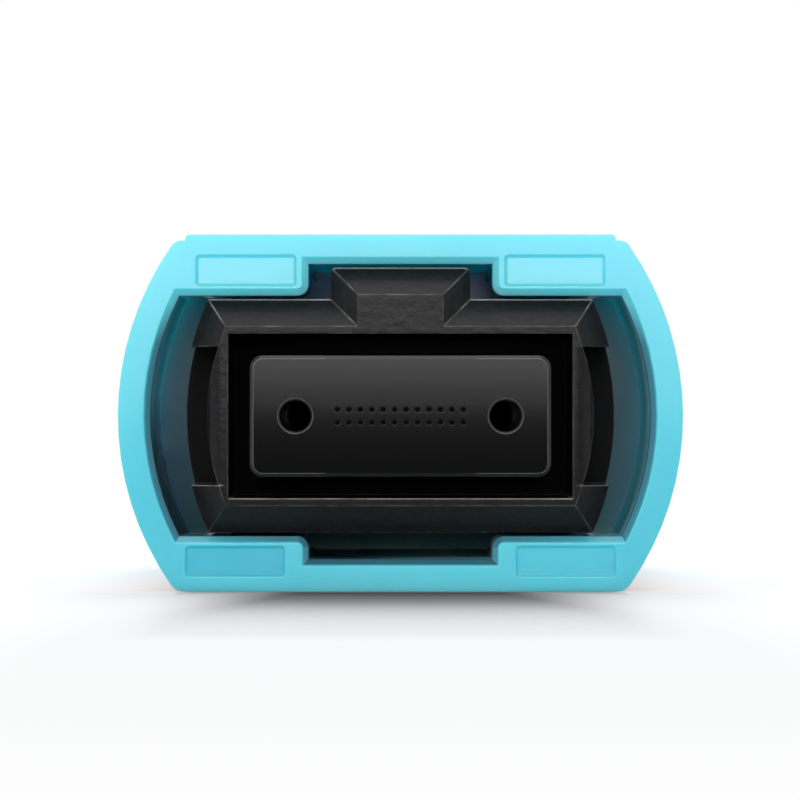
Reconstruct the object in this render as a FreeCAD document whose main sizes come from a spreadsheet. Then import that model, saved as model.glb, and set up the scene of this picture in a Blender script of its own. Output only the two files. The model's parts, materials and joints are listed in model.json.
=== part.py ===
"""Multi-fibre push-on connector: keyed plug with a spring-loaded two-row ferrule and a sliding sleeve.

The connector's axis is Y. The ferrule's end face lies at Y = 0 and faces -Y, the key is on top (+Z),
and the cable would leave towards +Y. Millimetres throughout.
"""

import FreeCAD, Part
import math
import os
import Sketcher

doc = FreeCAD.newDocument("push_on_connector")
sheet = doc.addObject("Spreadsheet::Sheet", "sizes")


# ---------------------------------------------------------------- sizes


class Size:
    """A length known both as a number and as an expression of the sheet's cells."""

    def __init__(self, value, text):
        self.value = value
        self.text = text

    def __add__(self, other):
        other = as_size(other)
        return Size(self.value + other.value, f"({self.text} + {other.text})")

    def __sub__(self, other):
        other = as_size(other)
        return Size(self.value - other.value, f"({self.text} - {other.text})")

    def __mul__(self, factor):
        return Size(self.value * factor, f"({self.text} * {factor})")

    def __truediv__(self, factor):
        return Size(self.value / factor, f"({self.text} / {factor})")

    def __neg__(self):
        return Size(-self.value, f"(0 - {self.text})")


def as_size(number):
    """A plain number as a Size, and a Size unchanged."""
    return number if isinstance(number, Size) else Size(number, str(number))


def cell(alias, value, meaning):
    """Writes one driving dimension into the sheet and returns it."""
    cell.row += 1
    sheet.set(f"A{cell.row}", meaning)
    sheet.set(f"B{cell.row}", str(value))
    sheet.setAlias(f"B{cell.row}", alias)
    return Size(value, f"sizes.{alias}")


cell.row = 0
ORIGIN = Size(0, "0")
PAST = 1  # how far the outline of a cut runs past the material
SUNK = 0.1  # how far a feature reaches into the one that it joins or opens
SLOPE = 45  # degrees, sides of the key's nose
MARK_SLOPE = 35  # degrees, sides of the shallow front recesses
CLOSED_PITCH = 1.06  # rise of a spring's closed end turn, in wire diameters
ROUND_STEPS = 16  # points on a turn of a round spring
OVAL_STEPS = 24  # points on a turn of an oval spring

# Ferrule
ferrule_width = cell("ferrule_width", 6.58, "ferrule body across")
ferrule_height = cell("ferrule_height", 2.65, "ferrule body, height")
ferrule_length = cell("ferrule_length", 8.0, "end face to the back of the flange")
ferrule_corner = cell("ferrule_corner", 0.28, "radius of the ferrule's long edges")
ferrule_bevel = cell("ferrule_bevel", 0.07, "bevel round the end face")
flange_step = cell("flange_step", 0.25, "flange beyond the ferrule body, each side")
flange_length = cell("flange_length", 2.0, "flange along the axis")
guide_pitch = cell("guide_pitch", 4.6, "guide hole to guide hole")
guide_diameter = cell("guide_diameter", 0.7, "guide hole")
guide_mouth = cell("guide_mouth", 0.035, "bevel at the mouth of a guide hole")
fibre_count = cell("fibre_count", 12, "fibre holes in a row")
fibre_pitch = cell("fibre_pitch", 0.25, "fibre hole to fibre hole in a row")
fibre_row_pitch = cell("fibre_row_pitch", 0.28, "upper row to lower row")
fibre_diameter = cell("fibre_diameter", 0.126, "fibre hole")
fibre_land = cell("fibre_land", 2.6, "length of a fibre hole")
well_width = cell("well_width", 3.4, "ribbon well in the ferrule, across")
well_height = cell("well_height", 1.3, "ribbon well, height")
window_width = cell("window_width", 2.8, "adhesive window over the well, across")
window_start = cell("window_start", 3.0, "adhesive window, distance from the end face")
window_length = cell("window_length", 2.2, "adhesive window along the axis")

# Boot and keeper behind the ferrule
boot_start = cell("boot_start", 5.4, "front of the ferrule boot")
boot_tail = cell("boot_tail", 2.6, "ferrule boot beyond the flange")
boot_gap = cell("boot_gap", 0.04, "boot to the wall of the well")
ribbon_thickness = cell("ribbon_thickness", 0.24, "fibre ribbon, thickness")
ribbon_start = cell("ribbon_start", 4.6, "front of a ribbon's coating, from the end face")
ribbon_tail = cell("ribbon_tail", 0.5, "fibre ribbon beyond the boot")
ribbon_gap = cell("ribbon_gap", 0.03, "ribbons to the slot in the boot")
fibre_glue = cell("fibre_glue", 0.004, "bare fibre to the wall of its hole")
fibre_recess = cell("fibre_recess", 0.01, "end of a fibre behind the end face")
keeper_length = cell("keeper_length", 1.6, "keeper along the axis")
keeper_rim = cell("keeper_rim", 0.1, "keeper inside the flange's outline, each side")
keeper_window_gap = cell("keeper_window_gap", 0.08, "boot to the keeper's window")
keeper_notch = cell("keeper_notch", 0.8, "notch for a guide pin in the keeper's side, height")

# Inner housing
housing_setback = cell("housing_setback", 0.2, "housing front behind the ferrule's end face")
housing_length = cell("housing_length", 18.0, "housing along the axis")
socket_gap = cell("socket_gap", 0.48, "ferrule to the wall of the socket")
socket_depth = cell("socket_depth", 4.3, "depth of the socket round the ferrule")
aperture_gap = cell("aperture_gap", 0.08, "ferrule to the aperture that guides it")
cavity_gap = cell("cavity_gap", 0.12, "flange to the wall of the cavity")
plug_side_wall = cell("plug_side_wall", 1.015, "socket to the housing's side")
plug_top_wall = cell("plug_top_wall", 0.76, "socket to the housing's flats")
plug_side_bulge = cell("plug_side_bulge", 1.415, "centre of the side arc beyond the axis")
nose_chamfer = cell("nose_chamfer", 0.6, "chamfer round the housing's front")
key_width = cell("key_width", 3.07, "key across")
key_height = cell("key_height", 0.695, "key above the housing's flat")
key_length = cell("key_length", 7.3, "key along the axis")
key_corner = cell("key_corner", 0.13, "radius of the key's long edges")
latch_height = cell("latch_height", 3.04, "latch recess between its two lips")
latch_wall = cell("latch_wall", 0.18, "wall between the socket and the recess floor")
latch_peak = cell("latch_peak", 0.48, "crest of the latch nose beyond the socket")
latch_edge = cell("latch_edge", 0.05, "front land beside the socket")
latch_land = cell("latch_land", 0.45, "crest of the latch nose along the axis")
latch_depth = cell("latch_depth", 2.6, "latch recess along the axis")
latch_crown = cell("latch_crown", 4.5, "radius of the crest seen from the front")
lug_start = cell("lug_start", 7.2, "sleeve stop lugs behind the housing's front")
lug_length = cell("lug_length", 1.1, "stop lug along the axis")
lug_ramp = cell("lug_ramp", 0.7, "lead-in of a stop lug")
lug_inset = cell("lug_inset", 2.45, "inner side of a lug from the middle")
lug_width = cell("lug_width", 1.5, "stop lug across")
lug_height = cell("lug_height", 0.38, "stop lug above the flat")
channel_lead = cell("channel_lead", 0.35, "spring channel in front of the spring")
ear_inset = cell("ear_inset", 2.28, "spring ear from the housing's back")
ear_length = cell("ear_length", 1.0, "spring ear along the axis")
ear_gap = cell("ear_gap", 0.14, "spring ear to the sleeve's side wall")
catch_gap = cell("catch_gap", 0.06, "hook to the end of its window")
catch_length = cell("catch_length", 1.3, "hook window along the axis")
catch_height = cell("catch_height", 1.7, "hook window, height")
catch_inset = cell("catch_inset", 0.7, "hook window from the housing's back")

# Coupling sleeve
sleeve_setback = cell("sleeve_setback", 0.3, "sleeve front behind the housing's front")
sleeve_length = cell("sleeve_length", 16.0, "sleeve along the axis")
latch_space = cell("latch_space", 0.715, "housing side to the sleeve's lip")
lip_gap = cell("lip_gap", 0.08, "housing flat to the sleeve's pads")
lip_depth = cell("lip_depth", 3.0, "lip along the axis")
lip_bevel = cell("lip_bevel", 0.15, "bevel round the sleeve's mouth")
sleeve_side_wall = cell("sleeve_side_wall", 0.7, "sleeve's side wall at the lip")
sleeve_top_wall = cell("sleeve_top_wall", 1.205, "sleeve's wall at the pads")
sleeve_side_bulge = cell("sleeve_side_bulge", 0.3, "centre of the side arc beyond the axis")
sleeve_top_round = cell("sleeve_top_round", 0.25, "radius of the upper long edges")
sleeve_base_round = cell("sleeve_base_round", 0.34, "radius of the lower long edges")
panel_height = cell("panel_height", 0.13, "raised panel on the key side")
panel_inset = cell("panel_inset", 1.48, "edge of the raised panel from the sleeve's side")
panel_round = cell("panel_round", 0.1, "radius of the raised panel's long edges")
keyway_gap = cell("keyway_gap", 0.485, "key to the side of the keyway")
keyway_clearance = cell("keyway_clearance", 0.08, "key to the roof of the keyway")
notch_depth = cell("notch_depth", 0.505, "lower notch below the pads")
pad_corner = cell("pad_corner", 0.25, "radius of the pads' corners beside the keyway")
hollow_side = cell("hollow_side", 0.15, "hollow behind the lip, wider at the side")
hollow_top = cell("hollow_top", 0.465, "hollow behind the lip, deeper at the pads")
stop_gap = cell("stop_gap", 0.02, "pieces that stop one another, held apart by")
ledge_length = cell("ledge_length", 1.4, "spring ledge along the axis")
ledge_gap = cell("ledge_gap", 0.1, "housing to the spring ledge")
rear_side_wall = cell("rear_side_wall", 0.45, "sleeve's side wall behind the ledge")
rear_gap = cell("rear_gap", 0.16, "housing flat to the sleeve behind the ledge")
mark_width = cell("mark_width", 2.22, "shallow front recess, across")
mark_height = cell("mark_height", 0.7, "shallow front recess, height")
mark_corner = cell("mark_corner", 0.1, "shallow front recess, corner radius")
mark_depth = cell("mark_depth", 0.09, "depth of the shallow front recesses")
mark_upper_x = cell("mark_upper_x", 3.39, "upper recesses from the middle")
mark_lower_x = cell("mark_lower_x", 3.63, "lower recesses from the middle")
mark_lift = cell("mark_lift", 0.545, "recess centre beyond the pads")
grip_start = cell("grip_start", 6.0, "first grip groove behind the sleeve's front")
grip_count = cell("grip_count", 7, "grip grooves")
grip_pitch = cell("grip_pitch", 1.2, "grip groove to grip groove")
grip_width = cell("grip_width", 0.6, "grip groove along the axis")
grip_depth = cell("grip_depth", 0.18, "depth of a grip groove")

# Rear body and crimp ring
nose_gap = cell("nose_gap", 0.06, "rear body's nose to the cavity")
nose_length = cell("nose_length", 4.0, "rear body inside the housing")
passage_wall = cell("passage_wall", 0.75, "wall beside the ribbon passage")
passage_roof = cell("passage_roof", 0.6, "wall above and below the ribbon passage")
slit_depth = cell("slit_depth", 0.9, "slit inward from the nose's side")
slit_width = cell("slit_width", 0.2, "slit beside a catch arm")
arm_height = cell("arm_height", 1.8, "catch arm, height")
arm_length = cell("arm_length", 3.4, "catch arm along the axis")
hook_height = cell("hook_height", 1.5, "catch hook, height")
hook_land = cell("hook_land", 0.43, "catch hook's crest along the axis")
hook_reach = cell("hook_reach", 0.62, "catch hook beyond the nose")
collar_margin = cell("collar_margin", 0.42, "collar inside the housing's outline")
collar_length = cell("collar_length", 2.6, "collar along the axis")
collar_corner = cell("collar_corner", 0.7, "radius of the collar's long edges")
post_diameter = cell("post_diameter", 4.4, "crimp post")
post_length = cell("post_length", 6.2, "crimp post along the axis")
post_bore = cell("post_bore", 2.6, "bore of the crimp post")
barb_count = cell("barb_count", 5, "grooves round the crimp post")
barb_pitch = cell("barb_pitch", 0.9, "groove to groove")
barb_depth = cell("barb_depth", 0.18, "depth of a groove round the post")
barb_width = cell("barb_width", 0.4, "width of a groove round the post")
barb_start = cell("barb_start", 1.0, "first groove behind the collar")
ring_gap = cell("ring_gap", 0.05, "post to the crimp ring")
ring_wall = cell("ring_wall", 0.45, "wall of the crimp ring")
ring_standoff = cell("ring_standoff", 0.4, "collar to the front of the crimp ring")
ring_taper = cell("ring_taper", 0.9, "taper of the crimp ring along the axis")
ring_neck_bore = cell("ring_neck_bore", 3.2, "bore of the crimp ring's neck")
ring_neck_length = cell("ring_neck_length", 3.2, "neck of the crimp ring along the axis")

# Springs
main_wire = cell("main_wire", 0.42, "wire of the ferrule spring")
main_turns = cell("main_turns", 6.5, "turns of the ferrule spring")
main_rim = cell("main_rim", 0.14, "ferrule spring inside the cavity, each side")
side_wire = cell("side_wire", 0.18, "wire of a coupling spring")
side_turns = cell("side_turns", 9, "turns of a coupling spring")
side_diameter = cell("side_diameter", 1.26, "outside of a coupling spring")
side_gap = cell("side_gap", 0.06, "coupling spring to the floor of its channel")
side_play = cell("side_play", 0.08, "coupling spring to the sleeve's side wall")
spring_play = cell("spring_play", 0.01, "spring end to its seat")

doc.recompute()

# Places that follow from the sizes
socket_width = ferrule_width + socket_gap * 2
socket_height = ferrule_height + socket_gap * 2
plug_side = socket_width / 2 + plug_side_wall
plug_top = socket_height / 2 + plug_top_wall
flange_width = ferrule_width + flange_step * 2
flange_height = ferrule_height + flange_step * 2
cavity_width = flange_width + cavity_gap * 2
cavity_height = flange_height + cavity_gap * 2
flange_front = ferrule_length - flange_length
boot_width = well_width - boot_gap * 2
boot_height = well_height - boot_gap * 2
boot_back = ferrule_length + boot_tail
ribbon_width = fibre_pitch * fibre_count.value
first_fibre = -(fibre_pitch / 2 * (fibre_count.value - 1))
keeper_back = ferrule_length + keeper_length
housing_back = housing_setback + housing_length
nose_front = housing_back - nose_length
key_top = plug_top + key_height

sleeve_front = housing_setback + sleeve_setback
lip_side = plug_side + latch_space
lip_top = plug_top + lip_gap
sleeve_side = lip_side + sleeve_side_wall
sleeve_top = lip_top + sleeve_top_wall
keyway_side = key_width / 2 + keyway_gap
keyway_top = key_top + keyway_clearance
notch_base = lip_top + notch_depth
ledge_front = housing_setback + lug_start + lug_length + stop_gap
ledge_start = ledge_front - sleeve_front
ledge_back = ledge_front + ledge_length
rear_side = sleeve_side - rear_side_wall
channel_floor = rear_side - side_play - side_diameter - side_gap
ear_front = housing_back - ear_inset - ear_length
ear_side = rear_side - ear_gap
catch_back = housing_back - catch_inset
collar_back = housing_back + collar_length
post_back = collar_back + post_length


# ---------------------------------------------------------------- drawing helpers


def bind(thing, name, size):
    """Ties a property or constraint of an object to the sheet."""
    thing.setExpression(name, as_size(size).text)


def new_body(label):
    """An empty body whose label names its file."""
    body = doc.addObject("PartDesign::Body", label)
    body.Label = label
    return body


def origin_plane(body, role):
    """One of the body's own origin planes or axes."""
    return [item for item in body.Origin.OriginFeatures if item.Role == role][0]


def sketch_on(body, name, role, offset):
    """An empty sketch on an origin plane, moved along the plane's normal by offset."""
    sketch = body.newObject("Sketcher::SketchObject", name)
    sketch.AttachmentSupport = [(origin_plane(body, role), "")]
    sketch.MapMode = "FlatFace"
    bind(sketch, "AttachmentOffset.Base.z", offset)
    return sketch


def section_at(body, name, station):
    """A sketch square to the connector's axis at a station along Y: sketch x is X, sketch y is Z."""
    return sketch_on(body, name, "XZ_Plane", -station)


def place(sketch, geometry, point, x, y):
    """Fixes one point of a sketch's geometry at x, y from the sketch's origin."""
    for kind, size in (("DistanceX", as_size(x)), ("DistanceY", as_size(y))):
        index = sketch.addConstraint(Sketcher.Constraint(kind, -1, 1, geometry, point, float(size.value)))
        bind(sketch, f"Constraints[{index}]", size)


def radius_of(sketch, geometry, size):
    """Fixes the radius of a circle or arc."""
    index = sketch.addConstraint(Sketcher.Constraint("Radius", geometry, float(size.value)))
    bind(sketch, f"Constraints[{index}]", size)


def vector(x, y):
    """The number pair behind two sizes, as a point of a sketch."""
    return FreeCAD.Vector(as_size(x).value, as_size(y).value, 0)


def polygon(sketch, corners):
    """A closed outline of straight lines through the corners."""
    lines = []
    for start, end in zip(corners, corners[1:] + corners[:1]):
        lines.append(sketch.addGeometry(Part.LineSegment(vector(*start), vector(*end))))
    for this, following in zip(lines, lines[1:] + lines[:1]):
        sketch.addConstraint(Sketcher.Constraint("Coincident", this, 2, following, 1))
    for line, corner in zip(lines, corners):
        place(sketch, line, 1, *corner)


def rectangle(sketch, left, right, low, high):
    """An upright rectangle between its four sides."""
    polygon(sketch, [(left, low), (right, low), (right, high), (left, high)])


def centred_rectangle(sketch, width, height):
    """A rectangle about the sketch's origin."""
    rectangle(sketch, -(width / 2), width / 2, -(height / 2), height / 2)


def circle(sketch, x, y, diameter):
    """A circle about x, y."""
    ring = sketch.addGeometry(Part.Circle(vector(x, y), FreeCAD.Vector(0, 0, 1), diameter.value / 2))
    place(sketch, ring, 3, x, y)
    radius_of(sketch, ring, diameter / 2)


def rounded_rectangle(sketch, middle_x, middle_y, width, height, corner):
    """An upright rectangle with round corners, as four lines and four tangent arcs."""
    left = middle_x - width / 2
    right = middle_x + width / 2
    low = middle_y - height / 2
    high = middle_y + height / 2
    centres = [
        (right - corner, low + corner, -90),
        (right - corner, high - corner, 0),
        (left + corner, high - corner, 90),
        (left + corner, low + corner, 180),
    ]
    arcs = []
    for x, y, start in centres:
        whole = Part.Circle(vector(x, y), FreeCAD.Vector(0, 0, 1), corner.value)
        turn = math.radians(start)
        arcs.append(sketch.addGeometry(Part.ArcOfCircle(whole, turn, turn + math.pi / 2)))
    for arc, following, direction in zip(arcs, arcs[1:] + arcs[:1], ("Vertical", "Horizontal") * 2):
        start = sketch.getPoint(arc, 2)
        end = sketch.getPoint(following, 1)
        line = sketch.addGeometry(Part.LineSegment(start, end))
        sketch.addConstraint(Sketcher.Constraint("Tangent", arc, 2, line, 1))
        sketch.addConstraint(Sketcher.Constraint("Tangent", line, 2, following, 1))
        sketch.addConstraint(Sketcher.Constraint(direction, line))
    place(sketch, arcs[0], 3, right - corner, low + corner)
    place(sketch, arcs[2], 3, left + corner, high - corner)
    radius_of(sketch, arcs[0], corner)
    sketch.addConstraint(Sketcher.Constraint("Equal", arcs[0], arcs[2]))


def barrel(sketch, side, bulge, top, base):
    """Two flats at +top and -base joined by side arcs that reach +side and -side.

    Each arc's centre lies on the X axis, bulge beyond the middle, away from its own side.
    """
    radius = side + bulge

    def corner_x(height):
        return math.sqrt(radius.value**2 - height.value**2) - bulge.value

    upper = corner_x(top)
    lower = corner_x(base)
    high = top.value
    low = -base.value
    flat_top = sketch.addGeometry(Part.LineSegment(vector(-upper, high), vector(upper, high)))
    flat_base = sketch.addGeometry(Part.LineSegment(vector(lower, low), vector(-lower, low)))
    arcs = []
    for direction, ends in ((1, (low, high)), (-1, (high, low))):
        middle = -direction * bulge.value
        whole = Part.Circle(vector(middle, 0), FreeCAD.Vector(0, 0, 1), radius.value)
        spans = {low: lower, high: upper}
        first, last = [math.atan2(z, direction * spans[z] - middle) for z in ends]
        arcs.append(sketch.addGeometry(Part.ArcOfCircle(whole, first, last)))
    right, left = arcs
    for one, one_end, other, other_end in (
        (flat_top, 2, right, 2),
        (right, 1, flat_base, 1),
        (flat_base, 2, left, 2),
        (left, 1, flat_top, 1),
    ):
        sketch.addConstraint(Sketcher.Constraint("Coincident", one, one_end, other, other_end))
    for flat in (flat_top, flat_base):
        sketch.addConstraint(Sketcher.Constraint("Horizontal", flat))
    place(sketch, right, 3, -bulge, ORIGIN)
    place(sketch, left, 3, bulge, ORIGIN)
    radius_of(sketch, right, radius)
    sketch.addConstraint(Sketcher.Constraint("Equal", right, left))
    for flat, height in ((flat_top, top), (flat_base, -base)):
        index = sketch.addConstraint(
            Sketcher.Constraint("DistanceY", -1, 1, flat, 1, float(height.value))
        )
        bind(sketch, f"Constraints[{index}]", height)


# ---------------------------------------------------------------- feature helpers


def pad(body, sketch, length, backwards=True, taper=0):
    """Material from a sketch. On a section, backwards is towards +Y. A negative taper narrows it."""
    feature = body.newObject("PartDesign::Pad", sketch.Name + "_pad")
    feature.Profile = sketch
    bind(feature, "Length", length)
    feature.Reversed = backwards
    feature.TaperAngle = taper
    doc.recompute()
    return feature


def pocket(body, sketch, depth, taper=0):
    """A cut against the sketch's normal, so a section's cut runs towards +Y. A taper narrows it."""
    before = body.Shape.Volume
    feature = body.newObject("PartDesign::Pocket", sketch.Name + "_cut")
    feature.Profile = sketch
    bind(feature, "Length", depth)
    feature.TaperAngle = -taper
    doc.recompute()
    if not body.Shape.Volume < before:
        raise RuntimeError(f"{feature.Name} removes nothing")
    return feature


def mirrored(body, features, role="YZ_Plane"):
    """The same features on the other side of an origin plane."""
    mirror = body.newObject("PartDesign::Mirrored", features[0].Name + "_pair")
    mirror.Originals = features
    mirror.MirrorPlane = (origin_plane(body, role), [""])
    body.Tip = mirror
    doc.recompute()
    return mirror


def row_of(body, feature, direction, pitch, count):
    """Copies of a feature in a straight row."""
    row = body.newObject("PartDesign::LinearPattern", feature.Name + "_row")
    row.Originals = [feature]
    row.Direction = direction
    row.Mode = "Spacing"
    bind(row, "Offset", pitch)
    bind(row, "Occurrences", count)
    body.Tip = row
    doc.recompute()
    return row


def edges_where(body, test):
    """Names of the edges of a body's present shape that pass a test."""
    edges = body.Shape.Edges
    return [f"Edge{number}" for number, edge in enumerate(edges, 1) if test(edge)]


def dress(body, kind, name, edges, size):
    """A fillet or a chamfer along edges of the body's present tip."""
    if not edges:
        raise RuntimeError(f"{name} has no edges")
    dressed = body.Tip
    feature = body.newObject(f"PartDesign::{kind}", name)
    feature.Base = (dressed, edges)
    bind(feature, "Radius" if kind == "Fillet" else "Size", size)
    doc.recompute()
    return feature


def near(one, other):
    """Whether two numbers are the same but for rounding."""
    return abs(one - other) < 1e-4


def lies_in_section(edge, station):
    """Whether an edge lies wholly in the plane square to the axis at a station."""
    box = edge.BoundBox
    return near(box.YMin, station.value) and near(box.YMax, station.value)


def runs_along_axis(edge):
    """Whether an edge is straight and parallel to the connector's axis."""
    box = edge.BoundBox
    return box.XLength < 1e-4 and box.ZLength < 1e-4


def is_long_edge_at(edge, height):
    """Whether an edge runs along the axis at a height above it."""
    return runs_along_axis(edge) and near(edge.BoundBox.ZMin, height.value)


# ---------------------------------------------------------------- pieces


def make_sleeve():
    """Outer sleeve that slides back to release the latches."""
    body = new_body("coupling_sleeve")

    outline = section_at(body, "sleeve_outline", sleeve_front)
    barrel(outline, sleeve_side, sleeve_side_bulge, sleeve_top, sleeve_top)
    pad(body, outline, sleeve_length)
    upper = edges_where(body, lambda edge: is_long_edge_at(edge, sleeve_top))
    dress(body, "Fillet", "sleeve_upper_edges", upper, sleeve_top_round)
    lower = edges_where(body, lambda edge: is_long_edge_at(edge, -sleeve_top))
    dress(body, "Fillet", "sleeve_lower_edges", lower, sleeve_base_round)

    panel = section_at(body, "panel_outline", sleeve_front)
    panel_side = sleeve_side - panel_inset
    panel_top = sleeve_top + panel_height
    rectangle(panel, -panel_side, panel_side, sleeve_top - panel_height, panel_top)
    pad(body, panel, sleeve_length)
    crest = edges_where(body, lambda edge: is_long_edge_at(edge, panel_top))
    dress(body, "Fillet", "panel_edges", crest, panel_round)

    grip = section_at(body, "grip_outline", sleeve_front + grip_start)
    above = sleeve_top + panel_height * 2
    barrel(grip, sleeve_side - grip_depth, sleeve_side_bulge, above, above)
    beside = sleeve_side + PAST
    rectangle(grip, -beside, beside, -(above + PAST), above + PAST)
    groove = pocket(body, grip, grip_width)
    row_of(body, groove, (origin_plane(body, "Y_Axis"), [""]), grip_pitch, grip_count)

    mouth = section_at(body, "mouth", sleeve_front)
    barrel(mouth, lip_side, sleeve_side_bulge, lip_top, lip_top)
    pocket(body, mouth, ledge_start)
    keyway = section_at(body, "keyway", sleeve_front)
    rectangle(keyway, -keyway_side, keyway_side, -notch_base, keyway_top)
    pocket(body, keyway, ledge_start)
    corners = edges_where(body, is_pad_corner)
    dress(body, "Fillet", "pad_corners", corners, pad_corner)
    bevelled = edges_where(body, is_mouth_edge)
    dress(body, "Chamfer", "mouth_bevel", bevelled, lip_bevel)

    hollow = section_at(body, "hollow", sleeve_front + lip_depth)
    hollow_height = lip_top + hollow_top
    barrel(hollow, lip_side + hollow_side, sleeve_side_bulge, hollow_height, hollow_height)
    pocket(body, hollow, ledge_start - lip_depth)
    ledge = section_at(body, "ledge_hole", ledge_front)
    ledge_height = plug_top + ledge_gap
    barrel(ledge, plug_side + ledge_gap, plug_side_bulge, ledge_height, ledge_height)
    pocket(body, ledge, sleeve_length)
    rear = section_at(body, "rear_hollow", ledge_back)
    rear_height = plug_top + rear_gap
    barrel(rear, rear_side, sleeve_side_bulge, rear_height, rear_height)
    pocket(body, rear, sleeve_length)

    marks = section_at(body, "front_marks", sleeve_front)
    for x, z in (
        (mark_upper_x, lip_top + mark_lift),
        (-mark_upper_x, lip_top + mark_lift),
        (mark_lower_x, -(lip_top + mark_lift)),
        (-mark_lower_x, -(lip_top + mark_lift)),
    ):
        rounded_rectangle(marks, x, z, mark_width, mark_height, mark_corner)
    pocket(body, marks, mark_depth, taper=MARK_SLOPE)
    return body


def is_pad_corner(edge):
    """Whether an edge is a corner of one of the sleeve's four pads beside the keyway."""
    box = edge.BoundBox
    return (
        runs_along_axis(edge)
        and near(abs(box.XMin), keyway_side.value)
        and near(abs(box.ZMin), lip_top.value)
    )


def is_mouth_edge(edge):
    """Whether an edge bounds the sleeve's opening in its front face."""
    box = edge.BoundBox
    inside = box.XMax < sleeve_side.value - SUNK and box.XMin > SUNK - sleeve_side.value
    within = box.ZMax < sleeve_top.value - SUNK and box.ZMin > SUNK - sleeve_top.value
    return lies_in_section(edge, sleeve_front) and inside and within


def make_housing():
    """Keyed plug body that holds everything and takes the adapter's latches."""
    body = new_body("inner_housing")

    outline = section_at(body, "plug_outline", housing_setback)
    barrel(outline, plug_side, plug_side_bulge, plug_top, plug_top)
    pad(body, outline, housing_length)
    front = edges_where(body, lambda edge: lies_in_section(edge, housing_setback))
    dress(body, "Chamfer", "nose_bevel", front, nose_chamfer)
    key = section_at(body, "key_outline", housing_setback + nose_chamfer)
    rectangle(key, -(key_width / 2), key_width / 2, ORIGIN, key_top)
    pad(body, key, key_length - nose_chamfer)
    key_nose = section_at(body, "key_nose", housing_setback + nose_chamfer)
    rectangle(key_nose, -(key_width / 2), key_width / 2, ORIGIN, key_top)
    pad(body, key_nose, nose_chamfer, backwards=False, taper=-SLOPE)
    crest = edges_where(body, lambda edge: is_long_edge_at(edge, key_top))
    dress(body, "Fillet", "key_edges", crest, key_corner)

    recess = section_at(body, "latch_recess", housing_setback)
    floor = socket_width / 2 + latch_wall
    half_latch = latch_height / 2
    rectangle(recess, floor, plug_side * 2, -half_latch, half_latch)
    recess_cut = pocket(body, recess, latch_depth)
    mirrored(body, [recess_cut])
    crown = section_at(body, "latch_crown", housing_setback)
    latch_crown_outline(crown, floor - latch_wall / 2)
    crown_pad = pad(body, crown, latch_peak - latch_edge + latch_land)
    mirrored(body, [crown_pad])
    slope = sketch_on(body, "latch_slope", "XY_Plane", half_latch)
    latch_slope_outline(slope, socket_width / 2 + latch_edge, socket_width / 2 + latch_peak)
    slope_cut = pocket(body, slope, latch_height)
    mirrored(body, [slope_cut])

    socket = section_at(body, "socket", housing_setback)
    centred_rectangle(socket, socket_width, socket_height)
    pocket(body, socket, socket_depth)
    aperture = section_at(body, "aperture", housing_setback)
    centred_rectangle(aperture, ferrule_width + aperture_gap * 2, ferrule_height + aperture_gap * 2)
    pocket(body, aperture, flange_front)
    cavity = section_at(body, "cavity", flange_front - stop_gap)
    centred_rectangle(cavity, cavity_width, cavity_height)
    pocket(body, cavity, housing_length)

    lug = sketch_on(body, "stop_lug", "YZ_Plane", lug_inset)
    lug_front = housing_setback + lug_start
    lug_back = lug_front + lug_length
    root = plug_top - plug_top_wall / 2
    tip = plug_top + lug_height
    for sign in (1, -1):
        polygon(
            lug,
            [
                (lug_front, root * sign),
                (lug_back, root * sign),
                (lug_back, tip * sign),
                (lug_front + lug_ramp, tip * sign),
                (lug_front, plug_top * sign),
            ],
        )
    lug_pad = pad(body, lug, lug_width, backwards=False)
    mirrored(body, [lug_pad])

    channel = section_at(body, "spring_channel", ledge_back - channel_lead)
    half_channel = side_diameter / 2 + side_gap
    rectangle(channel, channel_floor, plug_side * 2, -half_channel, half_channel)
    channel_cut = pocket(body, channel, ear_front - ledge_back + channel_lead)
    mirrored(body, [channel_cut])
    ear = section_at(body, "spring_ear", ear_front)
    rectangle(ear, channel_floor, ear_side, -half_channel, half_channel)
    ear_pad = pad(body, ear, ear_length)
    mirrored(body, [ear_pad])
    catch = section_at(body, "catch_window", catch_back - catch_length)
    rectangle(catch, cavity_width / 2 - SUNK, plug_side * 2, -(catch_height / 2), catch_height / 2)
    catch_cut = pocket(body, catch, catch_length)
    mirrored(body, [catch_cut])
    return body


def latch_slope_outline(sketch, foot, crest):
    """Outline of what is cut away in front of a latch nose: a quarter round from foot to crest."""
    radius = crest - foot
    back = housing_setback + radius
    front = housing_setback - PAST
    whole = Part.Circle(vector(foot, back), FreeCAD.Vector(0, 0, 1), radius.value)
    arc = sketch.addGeometry(Part.ArcOfCircle(whole, -math.pi / 2, 0))
    corners = [(crest, back), (plug_side * 2, back), (plug_side * 2, front), (foot, front)]
    corners.append((foot, housing_setback))
    sides = []
    for start, end in zip(corners, corners[1:]):
        sides.append(sketch.addGeometry(Part.LineSegment(vector(*start), vector(*end))))
    for this, following in zip(sides, sides[1:]):
        sketch.addConstraint(Sketcher.Constraint("Coincident", this, 2, following, 1))
    sketch.addConstraint(Sketcher.Constraint("Coincident", arc, 2, sides[0], 1))
    sketch.addConstraint(Sketcher.Constraint("Coincident", sides[-1], 2, arc, 1))
    place(sketch, arc, 3, foot, back)
    radius_of(sketch, arc, radius)
    for side, kinds in zip(sides, ("Horizontal", "Vertical", "Horizontal", "Vertical")):
        sketch.addConstraint(Sketcher.Constraint(kinds, side))
    place(sketch, sides[1], 2, plug_side * 2, front)


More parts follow.
